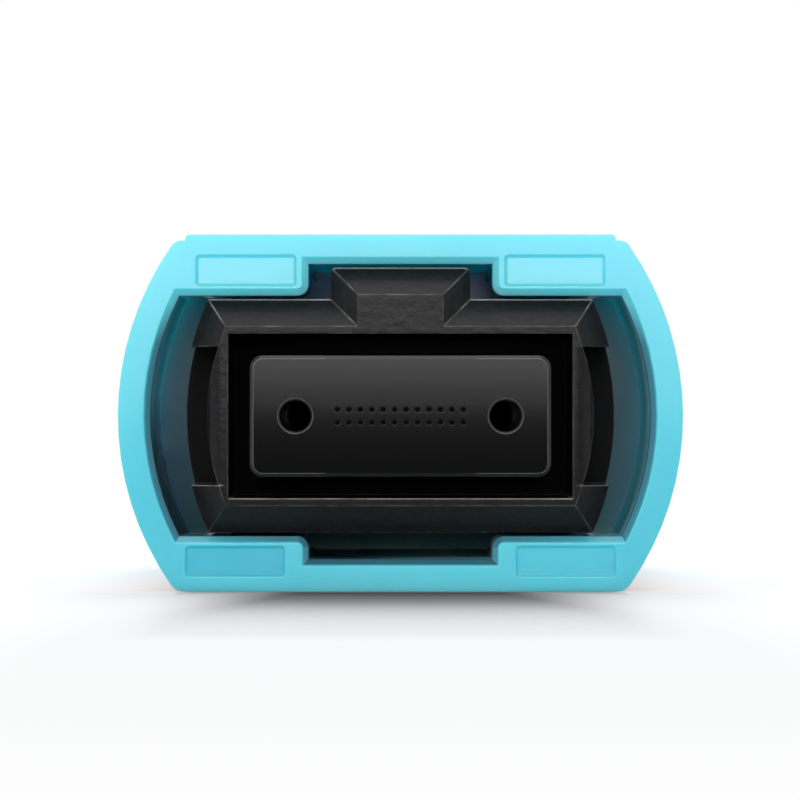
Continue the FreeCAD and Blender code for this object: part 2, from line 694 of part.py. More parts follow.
def latch_crown_outline(sketch, inner):
    """Outline of the latch nose's crest: a bar whose outer side is an arc about the X axis."""
    half = latch_height / 2
    crest = socket_width / 2 + latch_peak
    middle = crest - latch_crown
    reach = middle.value + math.sqrt(latch_crown.value**2 - half.value**2)
    whole = Part.Circle(vector(middle, 0), FreeCAD.Vector(0, 0, 1), latch_crown.value)
    swing = math.asin(half.value / latch_crown.value)
    arc = sketch.addGeometry(Part.ArcOfCircle(whole, -swing, swing))
    top = sketch.addGeometry(Part.LineSegment(vector(reach, half), vector(inner, half)))
    side = sketch.addGeometry(Part.LineSegment(vector(inner, half), vector(inner, -half)))
    base = sketch.addGeometry(Part.LineSegment(vector(inner, -half), vector(reach, -half)))
    for one, other in ((top, side), (side, base)):
        sketch.addConstraint(Sketcher.Constraint("Coincident", one, 2, other, 1))
    sketch.addConstraint(Sketcher.Constraint("Coincident", arc, 2, top, 1))
    sketch.addConstraint(Sketcher.Constraint("Coincident", base, 2, arc, 1))
    for flat in (top, base):
        sketch.addConstraint(Sketcher.Constraint("Horizontal", flat))
    place(sketch, arc, 3, middle, ORIGIN)
    radius_of(sketch, arc, latch_crown)
    place(sketch, side, 1, inner, half)
    place(sketch, side, 2, inner, -half)


def make_ferrule():
    """Precision-moulded ferrule with two guide holes and two rows of fibre holes."""
    body = new_body("mt_ferrule")

    block = section_at(body, "ferrule_outline", ORIGIN)
    rounded_rectangle(block, ORIGIN, ORIGIN, ferrule_width, ferrule_height, ferrule_corner)
    pad(body, block, ferrule_length)
    front = edges_where(body, lambda edge: lies_in_section(edge, ORIGIN))
    dress(body, "Chamfer", "end_face_bevel", front, ferrule_bevel)
    flange = section_at(body, "flange_outline", flange_front)
    rounded_rectangle(flange, ORIGIN, ORIGIN, flange_width, flange_height, ferrule_corner)
    pad(body, flange, flange_length)

    well = section_at(body, "ribbon_well", fibre_land)
    centred_rectangle(well, well_width, well_height)
    pocket(body, well, ferrule_length)
    window = sketch_on(body, "adhesive_window", "XY_Plane", ferrule_height / 2)
    rectangle(window, -(window_width / 2), window_width / 2, window_start, window_start + window_length)
    pocket(body, window, ferrule_height / 2)

    guides = section_at(body, "guide_holes", ORIGIN)
    for side in (-1, 1):
        circle(guides, guide_pitch / 2 * side, ORIGIN, guide_diameter)
    pocket(body, guides, ferrule_length)
    rims = edges_where(body, is_guide_rim)
    dress(body, "Chamfer", "guide_mouths", rims, guide_mouth)

    fibres = section_at(body, "fibre_holes", ORIGIN)
    for side in (-1, 1):
        circle(fibres, first_fibre, fibre_row_pitch / 2 * side, fibre_diameter)
    column = pocket(body, fibres, fibre_land)
    row_of(body, column, (fibres, ["H_Axis"]), fibre_pitch, fibre_count)
    return body


def is_guide_rim(edge):
    """Whether an edge is the rim of a guide hole in the ferrule's end face."""
    return lies_in_section(edge, ORIGIN) and near(edge.BoundBox.ZLength, guide_diameter.value)


def make_boot():
    """Soft boot that lines the ribbon's way into the ferrule."""
    body = new_body("ferrule_boot")
    outline = section_at(body, "boot_outline", boot_start)
    rounded_rectangle(outline, ORIGIN, ORIGIN, boot_width, boot_height, ferrule_corner)
    pad(body, outline, boot_back - boot_start)
    slot = section_at(body, "ribbon_slot", boot_start)
    slot_height = fibre_row_pitch + ribbon_thickness + ribbon_gap * 2
    centred_rectangle(slot, ribbon_width + ribbon_gap * 2, slot_height)
    pocket(body, slot, boot_back - boot_start)
    return body


def make_ribbon(label, side):
    """A ribbon whose bare fibres end in one row of the ferrule: side is 1 for the upper row."""
    body = new_body(label)
    row = fibre_row_pitch / 2 * side
    coat = section_at(body, "ribbon_outline", ribbon_start)
    half = ribbon_thickness / 2
    rectangle(coat, -(ribbon_width / 2), ribbon_width / 2, row - half, row + half)
    pad(body, coat, boot_back + ribbon_tail - ribbon_start)
    bare = section_at(body, "bare_fibre", fibre_recess)
    circle(bare, first_fibre, row, fibre_diameter - fibre_glue * 2)
    fibre = pad(body, bare, ribbon_start - fibre_recess)
    row_of(body, fibre, (bare, ["H_Axis"]), fibre_pitch, fibre_count)
    return body


def make_keeper():
    """Keeper between the ferrule and its spring, with a notch in each side for a guide pin."""
    body = new_body("pin_keeper")
    outline = section_at(body, "keeper_outline", ferrule_length)
    width = flange_width - keeper_rim * 2
    height = flange_height - keeper_rim * 2
    rounded_rectangle(outline, ORIGIN, ORIGIN, width, height, ferrule_corner)
    pad(body, outline, keeper_length)
    opening = section_at(body, "keeper_window", ferrule_length)
    centred_rectangle(opening, boot_width + keeper_window_gap * 2, boot_height + keeper_window_gap * 2)
    pocket(body, opening, keeper_length)
    notch = section_at(body, "pin_notch", ferrule_length)
    half = keeper_notch / 2
    rectangle(notch, guide_pitch / 2 - half, flange_width, -half, half)
    notch_cut = pocket(body, notch, keeper_length)
    mirrored(body, [notch_cut])
    return body


def make_rear_body():
    """Rear body: snaps into the housing, backs the ferrule spring and carries the crimp post."""
    body = new_body("rear_body")
    nose_width = cavity_width - nose_gap * 2
    nose_height = cavity_height - nose_gap * 2
    nose = section_at(body, "nose_outline", nose_front)
    centred_rectangle(nose, nose_width, nose_height)
    pad(body, nose, nose_length)
    collar = section_at(body, "collar_outline", housing_back)
    collar_width = (plug_side - collar_margin) * 2
    collar_height = (plug_top - collar_margin / 2) * 2
    rounded_rectangle(collar, ORIGIN, ORIGIN, collar_width, collar_height, collar_corner)
    pad(body, collar, collar_length)
    post = section_at(body, "post_outline", collar_back)
    circle(post, ORIGIN, ORIGIN, post_diameter)
    pad(body, post, post_length)

    passage = section_at(body, "ribbon_passage", nose_front)
    centred_rectangle(passage, nose_width - passage_wall * 2, nose_height - passage_roof * 2)
    pocket(body, passage, nose_length + collar_length / 2)
    bore = section_at(body, "post_bore", housing_back)
    circle(bore, ORIGIN, ORIGIN, post_bore)
    pocket(body, bore, collar_length + post_length)

    slits = section_at(body, "arm_slits", nose_front)
    half_arm = arm_height / 2
    inner = nose_width / 2 - slit_depth
    for sign in (1, -1):
        rectangle(slits, inner, nose_width, half_arm * sign, (half_arm + slit_width) * sign)
    slit_cut = pocket(body, slits, arm_length)
    mirrored(body, [slit_cut])
    hook = sketch_on(body, "catch_hook", "XY_Plane", -(hook_height / 2))
    hook_front = catch_back - catch_length + catch_gap
    hook_back = catch_back - catch_gap
    arm_face = nose_width / 2
    polygon(
        hook,
        [
            (arm_face - passage_wall / 2, hook_front),
            (arm_face, hook_front),
            (arm_face + hook_reach, hook_back - hook_land),
            (arm_face + hook_reach, hook_back),
            (arm_face - passage_wall / 2, hook_back),
        ],
    )
    hook_pad = pad(body, hook, hook_height, backwards=False)
    mirrored(body, [hook_pad])

    ribs = sketch_on(body, "post_groove", "XY_Plane", ORIGIN)
    groove_front = collar_back + barb_start
    post_radius = post_diameter / 2
    rectangle(ribs, post_radius - barb_depth, post_diameter, groove_front, groove_front + barb_width)
    before = body.Shape.Volume
    groove = body.newObject("PartDesign::Groove", "post_groove_cut")
    groove.Profile = ribs
    groove.ReferenceAxis = (ribs, ["V_Axis"])
    groove.Angle = 360
    doc.recompute()
    if not body.Shape.Volume < before:
        raise RuntimeError("the post's groove removes nothing")
    row_of(body, groove, (origin_plane(body, "Y_Axis"), [""]), barb_pitch, barb_count)
    return body


def make_crimp_ring():
    """Stepped metal ring over the post, whose neck would close on the cable's jacket."""
    body = new_body("crimp_ring")
    inner = post_diameter / 2 + ring_gap
    outer = inner + ring_wall
    neck_inner = ring_neck_bore / 2
    neck_outer = neck_inner + ring_wall
    front = collar_back + ring_standoff
    taper_back = post_back + ring_taper
    back = taper_back + ring_neck_length
    section = sketch_on(body, "ring_section", "XY_Plane", ORIGIN)
    polygon(
        section,
        [
            (inner, front),
            (outer, front),
            (outer, post_back),
            (neck_outer, taper_back),
            (neck_outer, back),
            (neck_inner, back),
            (neck_inner, post_back),
            (inner, post_back),
        ],
    )
    ring = body.newObject("PartDesign::Revolution", "ring_turned")
    ring.Profile = section
    ring.ReferenceAxis = (section, ["V_Axis"])
    ring.Angle = 360
    doc.recompute()
    return body


def make_spring(label, middle_x, front, back, reach_x, reach_z, wire, turns):
    """Compression spring with a closed turn at each end, wound round an oval or a circle.

    reach_x and reach_z are the half width and half height of the wire's centre line. Where they
    differ, the turns are racetracks: two straight runs joined by half circles of radius reach_z.
    """
    straight = 2 * (reach_x - reach_z)
    bend = math.pi * reach_z
    around = 2 * (straight + bend)
    steps = ROUND_STEPS if straight < wire else OVAL_STEPS

    def on_turn(travelled):
        """The point of the racetrack after a distance, from the middle of its upper run."""
        travelled = (travelled + straight / 2) % around
        if travelled < straight:
            return travelled - straight / 2, reach_z
        travelled -= straight
        if travelled < bend:
            angle = math.pi / 2 - travelled / reach_z
            return straight / 2 + reach_z * math.cos(angle), reach_z * math.sin(angle)
        travelled -= bend
        if travelled < straight:
            return straight / 2 - travelled, -reach_z
        angle = -math.pi / 2 - (travelled - straight) / reach_z
        return -straight / 2 + reach_z * math.cos(angle), reach_z * math.sin(angle)

    first = front + wire / 2
    last = back - wire / 2
    closed = wire * CLOSED_PITCH
    rise = (last - first - 2 * closed) / (turns - 2)

    def station(turn):
        """How far along the axis the wire is after so many turns."""
        if turn < 1:
            return first + closed * turn
        if turn > turns - 1:
            return last - closed * (turns - turn)
        return first + closed + rise * (turn - 1)

    points = []
    for step in range(int(round(turns * steps)) + 1):
        turn = step / steps
        x, z = on_turn(turn * around)
        points.append(FreeCAD.Vector(middle_x + x, station(turn), z))
    line = Part.BSplineCurve()
    line.buildFromPoles(points, False, 3)
    heading = line.tangent(line.FirstParameter)[0]
    sweep = Part.BRepOffsetAPI.MakePipeShell(Part.Wire([line.toShape()]))
    sweep.setBiNormalMode(FreeCAD.Vector(0, 1, 0))
    sweep.add(Part.Wire([Part.makeCircle(wire / 2, points[0], heading)]))
    sweep.build()
    sweep.makeSolid()
    spring = doc.addObject("Part::Feature", label)
    spring.Label = label
    spring.Shape = sweep.shape()
    return spring


def make_springs():
    """The ferrule spring and the two coupling springs, seated between the pieces they push apart."""
    play = spring_play.value
    wire = main_wire.value
    main_x = cavity_width.value / 2 - main_rim.value - wire / 2
    main_z = cavity_height.value / 2 - main_rim.value - wire / 2
    seats = (keeper_back.value + play, nose_front.value - play)
    springs = [make_spring("ferrule_spring", 0, *seats, main_x, main_z, wire, main_turns.value)]
    reach = (side_diameter.value - side_wire.value) / 2
    centre = channel_floor.value + side_gap.value + side_diameter.value / 2
    seats = (ledge_back.value + play, ear_front.value - play)
    for name, side in (("coupling_spring_left", -1), ("coupling_spring_right", 1)):
        springs.append(
            make_spring(name, side * centre, *seats, reach, reach, side_wire.value, side_turns.value)
        )
    return springs


# ---------------------------------------------------------------- build, check and write

pieces = [
    make_sleeve(),
    make_housing(),
    make_ferrule(),
    make_boot(),
    make_ribbon("upper_fibre_ribbon", 1),
    make_ribbon("lower_fibre_ribbon", -1),
    make_keeper(),
    make_rear_body(),
    make_crimp_ring(),
]
pieces += make_springs()
doc.recompute()

for item in doc.Objects:
    if "Invalid" in item.State or "Error" in item.State:
        raise RuntimeError(f"{item.Name} failed: {item.State}")
for piece in pieces:
    if piece.Shape.isNull() or not piece.Shape.isValid() or len(piece.Shape.Solids) != 1:
        raise RuntimeError(f"{piece.Label} is not one valid solid")

os.makedirs("parts", exist_ok=True)
for piece in pieces:
    piece.Shape.exportStep(f"parts/{piece.Label}.step")
    box = piece.Shape.BoundBox
    extent = f"{box.XLength:.2f} x {box.YLength:.2f} x {box.ZLength:.2f}"
    print(f"{piece.Label}: {piece.Shape.Volume:.3f} mm3, {extent} mm")
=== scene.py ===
"""Looks for the multi-fibre push-on connector: finishes, springs, studio and camera."""

import json
import math

import bmesh
import bpy
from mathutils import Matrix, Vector

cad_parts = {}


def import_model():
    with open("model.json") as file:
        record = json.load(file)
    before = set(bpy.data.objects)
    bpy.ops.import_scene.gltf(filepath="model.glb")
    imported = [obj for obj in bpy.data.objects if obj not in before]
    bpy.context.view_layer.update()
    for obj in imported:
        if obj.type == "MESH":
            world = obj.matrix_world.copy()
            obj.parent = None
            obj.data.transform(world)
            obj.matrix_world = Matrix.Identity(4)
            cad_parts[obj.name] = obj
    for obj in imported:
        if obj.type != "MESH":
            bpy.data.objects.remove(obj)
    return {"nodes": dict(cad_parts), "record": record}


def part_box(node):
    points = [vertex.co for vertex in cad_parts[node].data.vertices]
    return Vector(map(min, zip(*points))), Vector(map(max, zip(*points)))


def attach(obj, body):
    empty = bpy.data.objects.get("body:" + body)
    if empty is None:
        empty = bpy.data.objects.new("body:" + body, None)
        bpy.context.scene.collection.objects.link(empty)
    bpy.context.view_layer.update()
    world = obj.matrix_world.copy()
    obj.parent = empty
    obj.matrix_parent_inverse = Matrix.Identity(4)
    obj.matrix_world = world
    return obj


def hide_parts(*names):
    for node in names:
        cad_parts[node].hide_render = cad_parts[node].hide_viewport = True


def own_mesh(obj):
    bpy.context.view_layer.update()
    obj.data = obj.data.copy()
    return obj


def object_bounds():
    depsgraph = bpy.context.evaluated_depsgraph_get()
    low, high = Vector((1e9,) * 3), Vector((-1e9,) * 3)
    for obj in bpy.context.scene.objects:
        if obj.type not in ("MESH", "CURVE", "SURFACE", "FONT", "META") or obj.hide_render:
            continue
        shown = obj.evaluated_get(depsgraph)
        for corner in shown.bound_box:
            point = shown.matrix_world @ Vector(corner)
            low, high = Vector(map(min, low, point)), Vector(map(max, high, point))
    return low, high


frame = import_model()
cad_low, cad_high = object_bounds()

MM = 0.001

# Camera.
CAMERA_DISTANCE = 110 * MM
CAMERA_SIDE = -0.01 * MM
CAMERA_HEIGHT = 0.35 * MM
VIEW_WIDTH = 17.55 * MM
SENSOR = 36.0

# Lamps and sky.
FRONT_SIDE = -25 * MM
FRONT_DISTANCE = -115 * MM
FRONT_HEIGHT = 41 * MM
FRONT_SIZE = (130 * MM, 76 * MM)
FRONT_RADIANCE = 4.0
TOP_PLACE = (0, 45 * MM, 120 * MM)
TOP_TARGET = (0, 10 * MM, 0)
TOP_SIZE = (90 * MM, 190 * MM)
TOP_RADIANCE = 1.55
SKY_COLOUR = (0.96, 0.98, 1.0, 1)
SKY_STRENGTH = 0.42
FLAG_PLACE = (0, -18 * MM, -1.55 * MM)
FLAG_SIZE = (50 * MM, 4.5 * MM)

# Floor. Places on it are in millimetres from the middle of the ferrule's end face.
FLOOR_SIZE = 4.0
FLOOR_WHITE = 0.93
FLOOR_LIFT = 0.3
BACK_LIFT = 0.16
BACK_LIFT_START = -3.0
BACK_LIFT_END = 16.0
SIDE_LIFT = 0.1
SIDE_LIFT_START = 5.6
SIDE_LIFT_END = 9.0
WARM_COLOUR = (1.0, 0.35, 0.15, 1)
WARM_LIFT = 0.22
WARM_INNER = 5.7
WARM_OUTER = 8.3
WARM_FRONT = -0.7
WARM_NEAR = 0.9
WARM_FADE = 3.0
WARM_END = 15.0
FLOOR_NEAR = 25.0
FLOOR_FAR = 60.0
SHADOW_REACH = 24 * MM
SHADOW_POWER = 12.0
SHADOW_LEAST = 0.17
SHADOW_INNER = 1.5
SHADOW_OUTER = 5.6
SHADOW_FRONT = -0.5
SHADOW_BACK = 3.0
SHADOW_FADE = -9.0
SHADOW_END = -24.0
CONTACT_LEAST = 0.35
CONTACT_INNER = 0.58
CONTACT_OUTER = 0.72
EDGE_LEAST = 0.3
EDGE_INNER = 0.52
EDGE_OUTER = 0.82
FOOT_INNER = 4.4
FOOT_OUTER = 5.0

# Places on the sleeve, in millimetres.
FACE_DEPTH = 0.5
LIP_END = 0.9
PAD_START = 2.2
PAD_EDGE = 2.8
LIP_TOP_START = 1.6
LIP_TOP_END = 2.5
HOLLOW_LOW = -0.9
HOLLOW_HIGH = 0.5

FLANK_INNER = 4.2
FLANK_OUTER = 5.0
FLANK_LOW = -2.2
FLANK_HIGH = 0.3
MARK_END = 0.62
MARK_FADED = 0.7

# Places on the housing, in millimetres behind the ferrule's end face.
MOUTH_START = 1.1
MOUTH_END = 2.3
BACK_START = 13.0
BACK_END = 15.0

# Places on the fibres, in millimetres.
FIBRE_BARE_END = 4.6
FIBRE_HALF_WIDTH = 1.6

# Springs.
FERRULE_WIRE = 0.42 * MM
FERRULE_TURNS = 6.5
SLEEVE_WIRE = 0.18 * MM
SLEEVE_TURNS = 9
CLOSED_PITCH = 1.06
COIL_STEPS = 48
COIL_PEEK = 0.01
WIRE_SIDES = 10


# ---------------------------------------------------------------- node helpers


def srgb(red, green, blue):
    """A colour given as 0 to 255 screen values, as linear RGBA."""

    def linear(value):
        value /= 255
        return value / 12.92 if value <= 0.04045 else ((value + 0.055) / 1.055) ** 2.4

    return (linear(red), linear(green), linear(blue), 1.0)


AQUA = srgb(86, 206, 227)
AQUA_SHADE = srgb(80, 199, 221)
AQUA_PAINTED_HIGHLIGHT = srgb(112, 218, 234)
AQUA_LOW_FLANK_PAINTED_SHADE = srgb(75, 193, 215)
AQUA_MARK_PAINTED_SHADE = srgb(64, 188, 213)
AQUA_INNER_PAINTED_LIGHT = srgb(150, 224, 234)
AQUA_INNER_PAINTED_SHADE = srgb(64, 112, 122)
AQUA_NOTCH_PAINTED_SHADE = srgb(58, 108, 124)
AQUA_LIP_PAINTED_SHADE = srgb(74, 136, 153)
AQUA_LIP_TOP_PAINTED_LIGHT = srgb(112, 206, 220)
AQUA_HOLLOW_PAINTED_LIGHT = srgb(206, 242, 236)
AQUA_HOLLOW_PAINTED_SHADE = srgb(36, 74, 76)
AQUA_KEYWAY_PAINTED_SHADE = srgb(78, 103, 92)
BLACK = srgb(27, 25, 25)
BLACK_SHADE = srgb(22, 21, 21)
BLACK_PALE = srgb(38, 36, 36)
BLACK_PAINTED_SHADE = srgb(9, 8, 8)
EDGE_HIGHLIGHT_GREY = srgb(215, 215, 216)
EDGE_HIGHLIGHT_PALE = srgb(240, 240, 241)
DUST_GREY = srgb(70, 70, 72)
RESIN = srgb(9, 9, 10)
RESIN_SHADE = srgb(6, 6, 7)
RESIN_EDGE_HIGHLIGHT = srgb(140, 140, 141)


class Graph:
    """Short calls for a material's nodes."""

    def __init__(self, name):
        self.material = bpy.data.materials.new(name)
        self.material.use_nodes = True
        self.tree = self.material.node_tree
        self.shader = self.tree.nodes["Principled BSDF"]
        coordinates = self.add("ShaderNodeTexCoord")
        scale = self.add("ShaderNodeVectorMath", operation="SCALE")
        scale.inputs["Scale"].default_value = 1 / MM
        self.link(coordinates.outputs["Object"], scale.inputs[0])
        self.normal = coordinates.outputs["Normal"]
        self.place = scale.outputs[0]

    def add(self, kind, **settings):
        node = self.tree.nodes.new(kind)
        for key, value in settings.items():
            setattr(node, key, value)
        return node

    def link(self, output, target):
        self.tree.links.new(output, target)

    def noise(self, per_mm, detail=3.0, roughness=0.55, stretch=None):
        """Noise with so many cells in a millimetre, stretched along an axis if asked."""
        source = self.place
        if stretch:
            mapping = self.add("ShaderNodeMapping")
            mapping.inputs["Scale"].default_value = stretch
            self.link(self.place, mapping.inputs["Vector"])
            source = mapping.outputs[0]
        node = self.add("ShaderNodeTexNoise")
        node.inputs["Scale"].default_value = per_mm
        node.inputs["Detail"].default_value = detail
        node.inputs["Roughness"].default_value = roughness
        self.link(source, node.inputs["Vector"])
        return node.outputs["Fac"]

    def ramp(self, value, low, high, start, end, smooth=False):
        """value from start..end as low..high."""
        node = self.add("ShaderNodeMapRange")
        node.interpolation_type = "SMOOTHSTEP" if smooth else "LINEAR"
        node.inputs["From Min"].default_value = start
        node.inputs["From Max"].default_value = end
        node.inputs["To Min"].default_value = low
        node.inputs["To Max"].default_value = high
        self.link(value, node.inputs["Value"])
        return node.outputs["Result"]

    def blend(self, factor, first, second):
        """A colour between two, either of which is a colour or another node's output."""
        node = self.add("ShaderNodeMix", data_type="RGBA")
        self.link(factor, node.inputs["Factor"])
        for socket, colour in ((node.inputs["A"], first), (node.inputs["B"], second)):
            if isinstance(colour, bpy.types.NodeSocket):
                self.link(colour, socket)
            else:
                socket.default_value = colour
        return node.outputs["Result"]

    def bump(self, height, depth_mm, under=None):
        """Surface relief from a height output, depth_mm deep at full strength."""
        node = self.add("ShaderNodeBump")
        node.inputs["Distance"].default_value = depth_mm * MM
        self.link(height, node.inputs["Height"])
        if under:
            self.link(under, node.inputs["Normal"])
        return node.outputs["Normal"]

    def math(self, operation, first, second):
        """An arithmetic operation on two outputs or numbers."""
        node = self.add("ShaderNodeMath", operation=operation)
        for socket, value in zip(node.inputs, (first, second)):
            if isinstance(value, bpy.types.NodeSocket):
                self.link(value, socket)
            else:
                socket.default_value = value
        return node.outputs[0]

    def signed(self, axis):
        """The place along X, Y or Z, in millimetres."""
        split = self.add("ShaderNodeSeparateXYZ")
        self.link(self.place, split.inputs[0])
        return split.outputs[axis]

    def along_axis(self):
        """How far behind the ferrule's end face, in millimetres."""
        return self.signed("Y")

    def off_middle(self, axis="X"):
        """How far from the middle along X or Z, in millimetres."""
        return self.math("ABSOLUTE", self.signed(axis), 0)

    def facing_in(self):
        """1 where the surface faces the connector's axis, 0 where it faces along it or outward."""
        spread = self.add("ShaderNodeVectorMath", operation="MULTIPLY")
        spread.inputs[1].default_value = (1, 0, 1)
        self.link(self.place, spread.inputs[0])
        outward = self.add("ShaderNodeVectorMath", operation="NORMALIZE")
        self.link(spread.outputs[0], outward.inputs[0])
        product = self.add("ShaderNodeVectorMath", operation="DOT_PRODUCT")
        self.link(outward.outputs[0], product.inputs[0])
        self.link(self.normal, product.inputs[1])
        return self.ramp(product.outputs["Value"], 1, 0, -0.5, -0.2)

    def shelter(self, reach_mm, low, high):
        """From 1 in narrow places to 0 in the open, by how much of it is within reach_mm."""
        node = self.add("ShaderNodeAmbientOcclusion", samples=6, only_local=True)
        node.inputs["Distance"].default_value = reach_mm * MM
        return self.ramp(node.outputs["AO"], 1, 0, low, high)

    def mix_shader(self, factor, first, second):
        node = self.add("ShaderNodeMixShader")
        for socket, output in zip(node.inputs, (factor, first, second)):
            self.link(output, socket)
        return node.outputs[0]

    def rounded(self, radius_mm):
        """The surface's direction as if its sharp edges had this radius."""
        node = self.add("ShaderNodeBevel")
        node.samples = 6
        node.inputs["Radius"].default_value = radius_mm * MM
        return node.outputs[0]

    def upward(self, radius_mm):
        """How far the rounded surface faces up, from -1 to 1."""
        split = self.add("ShaderNodeSeparateXYZ")
        self.link(self.rounded(radius_mm), split.inputs[0])
        return split.outputs["Z"]

    def edges(self, radius_mm, strength, sharp=0.9):
        """From 0 on open faces to strength on sharp edges."""
        true = self.add("ShaderNodeNewGeometry")
        product = self.add("ShaderNodeVectorMath", operation="DOT_PRODUCT")
        self.link(self.rounded(radius_mm), product.inputs[0])
        self.link(true.outputs["Normal"], product.inputs[1])
        return self.ramp(product.outputs["Value"], strength, 0, sharp, 0.995)

    def finish(self, colour=None, roughness=None, normal=None, **constants):
        for name, output in (("Base Color", colour), ("Roughness", roughness), ("Normal", normal)):
            if output:
                self.link(output, self.shader.inputs[name])
        for name, value in constants.items():
            self.shader.inputs[name.replace("_", " ")].default_value = value
        return self.material


# ---------------------------------------------------------------- finishes


def aqua_plastic():
    """Satin aqua moulding: a fine spark-eroded grain and slow flow marks, with painted highlights
    on the edges and painted light and shade inside the mouth, on the lower flanks and on the marks.
    """
    graph = Graph("aqua_plastic")
    flow = graph.noise(0.22, detail=2, stretch=(1.0, 0.35, 1.0))
    speck = graph.noise(11.0, detail=2)
    body = graph.blend(graph.ramp(flow, 0, 1, 0.35, 0.65), AQUA, AQUA_SHADE)
    body = graph.blend(graph.ramp(speck, 0, 0.25, 0.5, 0.8), body, AQUA_SHADE)
    height = graph.signed("Z")
    # Painted shade: the flanks beside the pads are darker towards the bottom.
    flank = graph.ramp(graph.off_middle(), 0, 1, FLANK_INNER, FLANK_OUTER)
    shaded_low_flank = graph.math("MULTIPLY", flank, graph.ramp(height, 1, 0, FLANK_LOW, FLANK_HIGH))
    body = graph.blend(shaded_low_flank, body, AQUA_LOW_FLANK_PAINTED_SHADE)
    # Painted highlight: the edges are paler.
    body = graph.blend(graph.edges(0.05, 0.55), body, AQUA_PAINTED_HIGHLIGHT)
    behind_face = graph.ramp(graph.along_axis(), 0, 1, FACE_DEPTH + 0.01, FACE_DEPTH + 0.05)
    beside_keyway = graph.ramp(graph.off_middle(), 1, 0, PAD_START, PAD_START + 0.06)
    near_axis = graph.ramp(graph.off_middle("Z"), 1, 0, PAD_EDGE, PAD_EDGE + 0.04)
    off_pads = graph.math("MAXIMUM", beside_keyway, near_axis)
    inside = graph.math("MULTIPLY", graph.facing_in(), behind_face)
    inside = graph.math("MULTIPLY", inside, off_pads)
    # Painted shade on the lip inside the mouth, lighter towards its top and darker in the bottom
    # notch.
    lip = graph.blend(graph.ramp(height, 0, 1, LIP_TOP_START, LIP_TOP_END), AQUA_LIP_PAINTED_SHADE, AQUA_LIP_TOP_PAINTED_LIGHT)
    in_notch = graph.math("MULTIPLY", beside_keyway, graph.ramp(height, 1, 0, -3, -2))
    lip = graph.blend(in_notch, lip, AQUA_NOTCH_PAINTED_SHADE)
    left = graph.ramp(graph.signed("X"), 1, 0, -1, 1)
    # Behind the lip the walls get a pale painted light, with painted shade low on the left.
    low = graph.math("MULTIPLY", left, graph.ramp(height, 1, 0, HOLLOW_LOW, HOLLOW_HIGH))
    hollow = graph.blend(low, AQUA_INNER_PAINTED_LIGHT, AQUA_INNER_PAINTED_SHADE)
    behind_lip = graph.ramp(graph.along_axis(), 0, 1, LIP_END, LIP_END + 0.2)
    inner = graph.blend(behind_lip, lip, hollow)
    body = graph.blend(inside, body, inner)
    # On the marks: painted light on the upper ones, and painted shade on the lower left one near
    # the face.
    marks = graph.math("MULTIPLY", behind_face, graph.math("SUBTRACT", 1, off_pads))
    upper_mark = graph.math("MULTIPLY", marks, graph.ramp(height, 0, 0.7, 0, 1))
    body = graph.blend(upper_mark, body, AQUA_PAINTED_HIGHLIGHT)
    lower_mark = graph.math("MULTIPLY", marks, graph.ramp(height, 1, 0, -0.7, 0))
    lower_mark = graph.math("MULTIPLY", lower_mark, left)
    near_face = graph.ramp(graph.along_axis(), 1, 0, MARK_END, MARK_FADED)
    lower_mark = graph.math("MULTIPLY", lower_mark, near_face)
    body = graph.blend(lower_mark, body, AQUA_MARK_PAINTED_SHADE)
    # In narrow places a pale painted light, with blotches and a darkening of painted shade, more of
    # it low down and on the left; the keyway ledge gets painted shade of its own.
    shade_blotches = graph.ramp(graph.noise(0.45, detail=2), 0, 0.6, 0.38, 0.62)
    hollow_shade = graph.math("ADD", shade_blotches, graph.ramp(height, 0.9, -0.6, -1.2, 0.8))
    hollow_shade = graph.math("MULTIPLY", hollow_shade, graph.ramp(height, 0, 1, -2.9, -2.6))
    hollow_shade = graph.math("MULTIPLY", hollow_shade, graph.ramp(left, 0.2, 1, 0, 1))
    deep = graph.blend(hollow_shade, AQUA_HOLLOW_PAINTED_LIGHT, AQUA_HOLLOW_PAINTED_SHADE)
    in_keyway = graph.math("MULTIPLY", beside_keyway, graph.ramp(height, 0, 1, 2.2, 2.6))
    deep = graph.blend(in_keyway, deep, AQUA_KEYWAY_PAINTED_SHADE)
    body = graph.blend(graph.shelter(3.0, 0.1, 0.65), body, deep)
    grain = graph.noise(24, detail=4, roughness=0.6)
    cloud = graph.noise(0.6, detail=3)
    relief = graph.bump(grain, 0.0012, graph.rounded(0.03))
    gloss = graph.ramp(cloud, 0.19, 0.25, 0.35, 0.65)
    return graph.finish(
        body,
        gloss,
        relief,
        Specular_IOR_Level=0.6,
        Subsurface_Weight=0.7,
        Subsurface_Radius=(0.15 * MM, 0.8 * MM, 0.95 * MM),
        Subsurface_Scale=1.7,
    )


